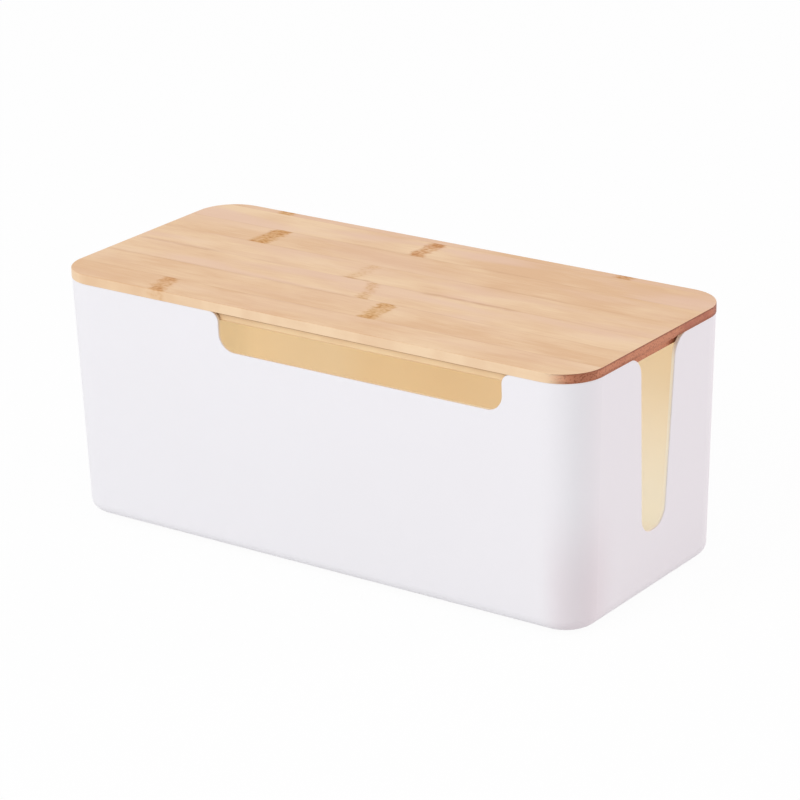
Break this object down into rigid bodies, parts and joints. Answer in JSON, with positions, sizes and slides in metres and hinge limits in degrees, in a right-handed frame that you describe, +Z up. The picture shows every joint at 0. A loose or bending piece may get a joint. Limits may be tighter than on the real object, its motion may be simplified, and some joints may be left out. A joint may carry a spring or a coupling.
{
  "type": "cable management box",
  "caption": "Rounded rectangular white plastic tub with a shallow front cable notch, tapering end slots and a flush lift-off bamboo lid.",
  "frame": {"origin": "on the ground under the middle of the box", "axes": "+X along the length, +Y from the notched front to the back, +Z up"},
  "size_m": [0.32, 0.143, 0.1362],
  "materials": {
    "white_plastic": "satin",
    "bamboo": "clear satin lacquer",
    "rubber": "matt"
  },
  "bodies": {
    "tub": {"box_shell": "white_plastic", "foot_front_left": "rubber", "foot_front_right": "rubber", "foot_rear_left": "rubber", "foot_rear_right": "rubber"},
    "lid": {"lid_top_strip_1": "bamboo", "lid_top_strip_2": "bamboo", "lid_top_strip_3": "bamboo", "lid_top_strip_4": "bamboo", "lid_top_strip_5": "bamboo", "lid_top_strip_6": "bamboo", "lid_top_strip_7": "bamboo", "lid_lower_strip_1": "bamboo", "lid_lower_strip_2": "bamboo", "lid_lower_strip_3": "bamboo", "lid_lower_strip_4": "bamboo", "lid_lower_strip_5": "bamboo", "lid_lower_strip_6": "bamboo", "lid_lower_strip_7": "bamboo"}
  },
  "joints": [
    {"name": "lid_lift", "type": "slide", "parent": "tub", "child": "lid", "axis": [0, 0, 1], "range_m": [0, 0.15]}
  ]
}
